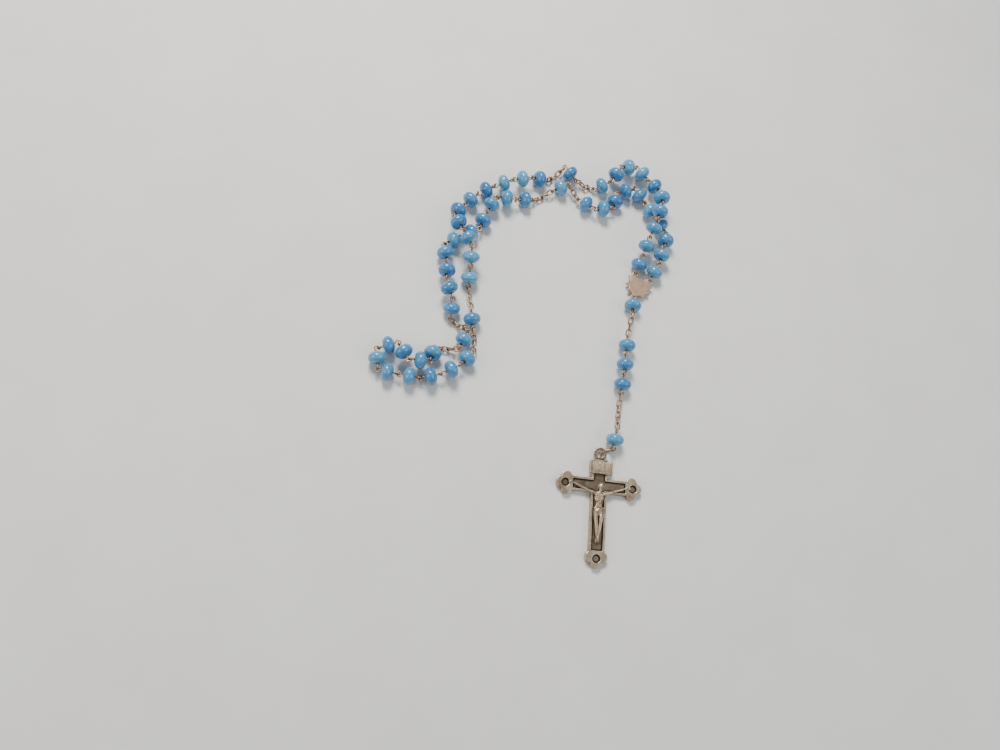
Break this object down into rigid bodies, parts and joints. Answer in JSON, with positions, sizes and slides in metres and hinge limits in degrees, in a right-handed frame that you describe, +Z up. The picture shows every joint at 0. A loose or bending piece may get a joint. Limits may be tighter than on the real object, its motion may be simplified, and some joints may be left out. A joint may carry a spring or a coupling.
{
  "type": "rosary",
  "caption": "Rosary of oblate blue glass beads on linked eye pins and chain lengths, with a rayed medal, a pendant and a relief crucifix.",
  "frame": {"origin": "middle of the footprint of the rosary as laid out, on the surface it lies on", "axes": "+Z up from the surface, +Y from the crucifix end towards the far side of the loop, +X towards the medal's side"},
  "size_m": [0.107, 0.1472, 0.011],
  "materials": {
    "blue_glass": "opaque glossy sky-blue glass",
    "aged_wire": "tarnished copper-brown wire",
    "medal_bronze": "worn pinkish bronze, satin",
    "cast_metal": "worn cast metal, dark in the recesses"
  },
  "bodies": {
    "decade_2a": {"hail_beads_2a": "blue_glass", "hail_pins_2a": "aged_wire"},
    "chain_2": {"chain_2": "aged_wire"},
    "father_1": {"father_pin_1": "aged_wire", "chain_1": "aged_wire"},
    "decade_1b": {"hail_beads_1b": "blue_glass", "hail_pins_1b": "aged_wire"},
    "decade_1a": {"hail_beads_1a": "blue_glass", "hail_pins_1a": "aged_wire"},
    "medal": {"medal": "medal_bronze"},
    "decade_5b": {"hail_beads_5b": "blue_glass", "hail_pins_5b": "aged_wire"},
    "decade_5a": {"hail_beads_5a": "blue_glass", "hail_pins_5a": "aged_wire"},
    "chain_8": {"chain_8": "aged_wire"},
    "father_4": {"father_pin_4": "aged_wire", "chain_7": "aged_wire"},
    "decade_4c": {"hail_beads_4c": "blue_glass", "hail_pins_4c": "aged_wire"},
    "decade_4b": {"hail_beads_4b": "blue_glass", "hail_pins_4b": "aged_wire"},
    "decade_4a": {"hail_beads_4a": "blue_glass", "hail_pins_4a": "aged_wire"},
    "father_3": {"chain_6": "aged_wire", "father_pin_3": "aged_wire"},
    "decade_3c": {"chain_5": "aged_wire", "hail_beads_3c": "blue_glass", "hail_pins_3c": "aged_wire"},
    "decade_2b": {"hail_beads_2b": "blue_glass", "hail_pins_2b": "aged_wire"},
    "father_2": {"chain_3": "aged_wire", "father_pin_2": "aged_wire"},
    "chain_4": {"chain_4": "aged_wire"},
    "decade_3a": {"hail_beads_3a": "blue_glass", "hail_pins_3a": "aged_wire"},
    "decade_3b": {"hail_beads_3b": "blue_glass", "hail_pins_3b": "aged_wire"},
    "jump_ring": {"jump_ring": "aged_wire"},
    "crucifix": {"crucifix": "cast_metal", "title_plate": "cast_metal", "corpus": "cast_metal"},
    "father_bead_1": {"father_bead_1": "blue_glass"},
    "father_bead_2": {"father_bead_2": "blue_glass"},
    "father_bead_3": {"father_bead_3": "blue_glass"},
    "father_bead_4": {"father_bead_4": "blue_glass"},
    "pendant_bead_1": {"pendant_bead_1": "blue_glass"},
    "pendant_pin_1": {"pendant_pin_1": "aged_wire"},
    "pendant_bead_2": {"pendant_bead_2": "blue_glass"},
    "pendant_pin_2": {"pendant_pin_2": "aged_wire"},
    "pendant_bead_3": {"pendant_bead_3": "blue_glass"},
    "pendant_pin_3": {"pendant_pin_3": "aged_wire"},
    "pendant_bead_4": {"pendant_bead_4": "blue_glass"},
    "pendant_pin_4": {"pendant_pin_4": "aged_wire"},
    "pendant_bead_5": {"pendant_bead_5": "blue_glass"},
    "pendant_pin_5": {"pendant_pin_5": "aged_wire"},
    "pendant_chain_1": {"pendant_chain_1": "aged_wire"},
    "pendant_chain_2": {"pendant_chain_2": "aged_wire"}
  },
  "joints": [
    {"name": "fold_strands_upper", "type": "hinge", "parent": "decade_2a", "child": "chain_2", "pos_m": [0.00672, 0.06359, 0.00166], "axis": [-0.4703, -0.8824, 0.0164], "range_deg": [0, 25]},
    {"name": "fold_strands_lower", "type": "hinge", "parent": "father_4", "child": "decade_4c", "pos_m": [0.00203, 0.0548, 0.00182], "axis": [0.4703, 0.8824, -0.0164], "range_deg": [0, 25]},
    {"name": "fold_fathers_upper", "type": "hinge", "parent": "chain_2", "child": "father_1", "pos_m": [0.01314, 0.06824, 0.00285], "axis": [-0.253, 0.9661, -0.0512], "range_deg": [0, 10]},
    {"name": "fold_fathers_lower", "type": "hinge", "parent": "chain_8", "child": "father_4", "pos_m": [0.01506, 0.06091, 0.00324], "axis": [0.253, -0.9661, 0.0512], "range_deg": [0, 10]},
    {"name": "fold_decades_upper", "type": "hinge", "parent": "father_1", "child": "decade_1b", "pos_m": [0.02418, 0.0618, 0.00157], "axis": [-0.7513, -0.654, 0.0885], "range_deg": [0, 20]},
    {"name": "fold_decades_lower", "type": "hinge", "parent": "decade_5a", "child": "chain_8", "pos_m": [0.01827, 0.05666, 0.00226], "axis": [0.7513, 0.654, -0.0885], "range_deg": [0, 20]},
    {"name": "fold_corner_upper", "type": "hinge", "parent": "decade_1b", "child": "decade_1a", "pos_m": [0.04899, 0.06106, 0.00532], "axis": [-0.7719, -0.5276, -0.3547], "range_deg": [0, 25]},
    {"name": "fold_corner_lower", "type": "hinge", "parent": "decade_5b", "child": "decade_5a", "pos_m": [0.04354, 0.05733, 0.00281], "axis": [0.7719, 0.5276, 0.3547], "range_deg": [0, 25]},
    {"name": "fold_medal_upper", "type": "hinge", "parent": "decade_1a", "child": "medal", "pos_m": [0.03898, 0.02896, 0.00188], "axis": [-0.905, 0.4254, 0], "range_deg": [0, 30]},
    {"name": "fold_medal_lower", "type": "hinge", "parent": "medal", "child": "decade_5b", "pos_m": [0.04417, 0.02652, 0.00188], "axis": [0.905, -0.4254, 0], "range_deg": [0, 30]},
    {"name": "fold_side_upper", "type": "hinge", "parent": "decade_2a", "child": "decade_2b", "pos_m": [-0.02686, 0.04342, 0.00529], "axis": [-0.95, 0.2278, 0.2134], "range_deg": [0, 30]},
    {"name": "fold_side_lower", "type": "hinge", "parent": "decade_4c", "child": "decade_4b", "pos_m": [-0.01758, 0.04119, 0.0032], "axis": [-0.95, 0.2278, 0.2134], "range_deg": [0, 30]},
    {"name": "fold_chains_upper", "type": "hinge", "parent": "decade_2b", "child": "father_2", "pos_m": [-0.02121, 0.01811, 0.00186], "axis": [-0.9061, 0.263, 0.3313], "range_deg": [0, 25]},
    {"name": "fold_chains_lower", "type": "hinge", "parent": "decade_4b", "child": "decade_4a", "pos_m": [-0.02901, 0.02038, 0.00471], "axis": [-0.9061, 0.263, 0.3313], "range_deg": [0, 25]},
    {"name": "fold_near_hook_upper", "type": "hinge", "parent": "father_2", "child": "chain_4", "pos_m": [-0.01956, 0.00289, 0.00239], "axis": [-0.8642, 0.4966, -0.0805], "range_deg": [0, 20]},
    {"name": "fold_near_hook_lower", "type": "hinge", "parent": "decade_4a", "child": "father_3", "pos_m": [-0.02705, 0.00719, 0.0017], "axis": [-0.8642, 0.4966, -0.0805], "range_deg": [0, 20]},
    {"name": "fold_hook_upper", "type": "hinge", "parent": "chain_4", "child": "decade_3a", "pos_m": [-0.01964, -0.00504, 0.00196], "axis": [-0.9223, 0.2974, 0.2468], "range_deg": [0, 25]},
    {"name": "fold_hook_lower", "type": "hinge", "parent": "father_3", "child": "decade_3c", "pos_m": [-0.02403, -0.00362, 0.00313], "axis": [-0.9223, 0.2974, 0.2468], "range_deg": [0, 25]},
    {"name": "fold_tip_upper", "type": "hinge", "parent": "decade_3a", "child": "decade_3b", "pos_m": [-0.03698, -0.01477, 0.0028], "axis": [-0.5338, 0.8354, 0.131], "range_deg": [0, 20]},
    {"name": "pendant_pin_1_lift", "type": "hinge", "parent": "medal", "child": "pendant_pin_1", "pos_m": [0.03725, 0.01833, 0.00188], "axis": [-0.9747, 0.2234, 0], "range_deg": [0, 25]},
    {"name": "pendant_chain_1_swing", "type": "hinge", "parent": "pendant_pin_1", "child": "pendant_chain_1", "pos_m": [0.03594, 0.01259, 0.00411], "axis": [0, 0, 1], "range_deg": [-10, 20]},
    {"name": "pendant_pin_2_lift", "type": "hinge", "parent": "pendant_chain_1", "child": "pendant_pin_2", "pos_m": [0.03411, 0.00354, 0.00309], "axis": [-0.986, 0.1669, 0], "range_deg": [0, 25]},
    {"name": "pendant_pin_3_swing", "type": "hinge", "parent": "pendant_pin_2", "child": "pendant_pin_3", "pos_m": [0.03307, -0.00265, 0.00337], "axis": [0, 0, 1], "range_deg": [-10, 20]},
    {"name": "pendant_pin_4_lift", "type": "hinge", "parent": "pendant_pin_3", "child": "pendant_pin_4", "pos_m": [0.03181, -0.01043, 0.00352], "axis": [-0.9874, 0.1583, 0], "range_deg": [0, 25]},
    {"name": "pendant_chain_2_swing", "type": "hinge", "parent": "pendant_pin_4", "child": "pendant_chain_2", "pos_m": [0.03083, -0.01656, 0.00248], "axis": [0, 0, 1], "range_deg": [-10, 20]},
    {"name": "pendant_pin_5_lift", "type": "hinge", "parent": "pendant_chain_2", "child": "pendant_pin_5", "pos_m": [0.02836, -0.02963, 0.00335], "axis": [-0.9768, 0.2141, 0], "range_deg": [0, 25]},
    {"name": "jump_ring_swing", "type": "hinge", "parent": "pendant_pin_5", "child": "jump_ring", "pos_m": [0.02702, -0.03574, 0.00265], "axis": [0, 0, 1], "range_deg": [-10, 20]},
    {"name": "crucifix_lift", "type": "hinge", "parent": "jump_ring", "child": "crucifix", "pos_m": [0.02458, -0.03677, 0.0013], "axis": [-0.3903, 0.9207, 0], "range_deg": [0, 12]},
    {"name": "father_bead_1_spin", "type": "hinge", "parent": "father_1", "child": "father_bead_1", "pos_m": [0.01559, 0.06634, 0.00302], "axis": [-0.6287, 0.7774, 0.0203], "continuous": true},
    {"name": "father_bead_2_spin", "type": "hinge", "parent": "father_2", "child": "father_bead_2", "pos_m": [-0.02002, 0.00667, 0.003], "axis": [0.1085, -0.9897, -0.0928], "continuous": true},
    {"name": "father_bead_3_spin", "type": "hinge", "parent": "father_3", "child": "father_bead_3", "pos_m": [-0.02268, -0.00089, 0.00309], "axis": [-0.4415, -0.8971, 0.015], "continuous": true},
    {"name": "father_bead_4_spin", "type": "hinge", "parent": "father_4", "child": "father_bead_4", "pos_m": [0.01182, 0.06007, 0.00303], "axis": [-0.8852, -0.4504, -0.1163], "continuous": true},
    {"name": "pendant_bead_1_spin", "type": "hinge", "parent": "pendant_pin_1", "child": "pendant_bead_1", "pos_m": [0.0366, 0.01546, 0.003], "axis": [-0.2089, -0.9116, 0.3541], "continuous": true},
    {"name": "pendant_bead_2_spin", "type": "hinge", "parent": "pendant_pin_2", "child": "pendant_bead_2", "pos_m": [0.03359, 0.00044, 0.00323], "axis": [-0.1668, -0.9849, 0.0456], "continuous": true},
    {"name": "pendant_bead_3_spin", "type": "hinge", "parent": "pendant_pin_3", "child": "pendant_bead_3", "pos_m": [0.03244, -0.00655, 0.00353], "axis": [-0.1591, -0.9865, 0.0389], "continuous": true},
    {"name": "pendant_bead_4_spin", "type": "hinge", "parent": "pendant_pin_4", "child": "pendant_bead_4", "pos_m": [0.03132, -0.0135, 0.003], "axis": [-0.1562, -0.974, -0.164], "continuous": true},
    {"name": "pendant_bead_5_spin", "type": "hinge", "parent": "pendant_pin_5", "child": "pendant_bead_5", "pos_m": [0.02769, -0.03269, 0.003], "axis": [-0.2128, -0.9707, -0.1113], "continuous": true}
  ],
  "couplings": [
    {"joint": "fold_strands_lower", "follows": "fold_strands_upper", "ratio": 1},
    {"joint": "fold_fathers_lower", "follows": "fold_fathers_upper", "ratio": 1},
    {"joint": "fold_decades_lower", "follows": "fold_decades_upper", "ratio": 1},
    {"joint": "fold_corner_lower", "follows": "fold_corner_upper", "ratio": 1},
    {"joint": "fold_medal_lower", "follows": "fold_medal_upper", "ratio": 1},
    {"joint": "fold_side_lower", "follows": "fold_side_upper", "ratio": 1},
    {"joint": "fold_chains_lower", "follows": "fold_chains_upper", "ratio": 1},
    {"joint": "fold_near_hook_lower", "follows": "fold_near_hook_upper", "ratio": 1},
    {"joint": "fold_hook_lower", "follows": "fold_hook_upper", "ratio": 1}
  ]
}
